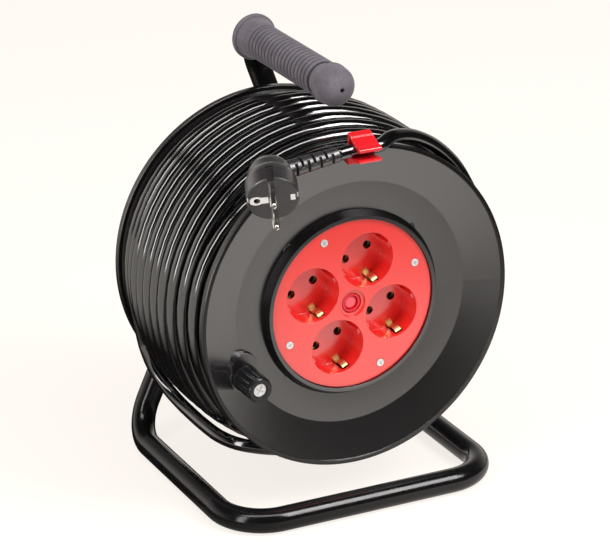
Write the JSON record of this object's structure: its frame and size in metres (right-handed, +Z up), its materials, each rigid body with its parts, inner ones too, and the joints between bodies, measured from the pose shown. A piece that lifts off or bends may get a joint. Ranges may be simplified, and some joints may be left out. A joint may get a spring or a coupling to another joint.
{
  "type": "extension cord reel",
  "caption": "Extension cord reel: a turning drum of black cord with an outlet panel, crank knob and clipped plug, on a bent-tube stand with a carrying grip.",
  "frame": {"origin": "on the floor, under the middle of the frame and drum", "axes": "+Z up; +Y from the outlet side to the legs, along the drum's axis; +X to the right of someone who faces the outlets"},
  "size_m": [0.2485, 0.2319, 0.3164],
  "materials": {
    "frame_paint": "gloss black",
    "grip_rubber": "matte grey-black",
    "zinc_steel": "zinc plated",
    "nylon": "natural nylon",
    "drum_plastic": "satin black",
    "panel_plastic": "glossy red",
    "bright_steel": "bright",
    "inner_plastic": "matte black",
    "brass": "plain brass",
    "button_plastic": "pale red",
    "wire_brown": "brown insulation",
    "wire_blue": "blue insulation",
    "wire_green": "green and yellow insulation",
    "knob_plastic": "gloss black",
    "clip_plastic": "glossy red",
    "cord_rubber": "smooth black",
    "plug_rubber": "satin black",
    "nickel": "nickel plated"
  },
  "bodies": {
    "stand": {"frame_tube": "frame_paint", "hub_plate": "frame_paint", "handle_grip": "grip_rubber", "axle_bolt": "zinc_steel", "axle_washers": "zinc_steel", "axle_nut": "zinc_steel"},
    "drum": {"hub_bushing": "nylon", "drum_front": "drum_plastic", "drum_rear": "drum_plastic", "drum_screws": "zinc_steel", "outlet_panel": "panel_plastic", "panel_screws": "bright_steel", "contact_cover": "inner_plastic", "cover_screws": "zinc_steel", "live_busbar": "brass", "neutral_busbar": "brass", "earth_bar": "brass", "earth_clip_1": "brass", "earth_clip_2": "brass", "earth_clip_3": "brass", "earth_clip_4": "brass", "thermal_cutout": "inner_plastic", "cord_clamp": "inner_plastic", "clamp_screws": "zinc_steel", "live_wire": "wire_brown", "neutral_wire": "wire_blue", "earth_wire": "wire_green", "crank_spindle": "bright_steel", "cable_clip": "clip_plastic", "cord_core": "cord_rubber", "cord_winding": "cord_rubber", "cord_tail": "cord_rubber", "cord_lead": "cord_rubber", "plug_body": "plug_rubber", "plug_pins": "nickel", "plug_earth_contacts": "nickel"},
    "button": {"reset_button": "button_plastic"},
    "knob": {"crank_knob": "knob_plastic"}
  },
  "joints": [
    {"name": "drum_turn", "type": "hinge", "parent": "stand", "child": "drum", "pos_m": [0, -0.00335, 0.1484], "axis": [0, 1, 0], "range_deg": [-112, 182]},
    {"name": "knob_turn", "type": "hinge", "parent": "drum", "child": "knob", "pos_m": [-0.08438, -0.08585, 0.10977], "axis": [0, 1, 0], "continuous": true},
    {"name": "button_press", "type": "slide", "parent": "drum", "child": "button", "axis": [0, 1, 0], "range_m": [0, 0.0025], "stiffness_N_per_m": 600, "springref_m": -0.002}
  ]
}
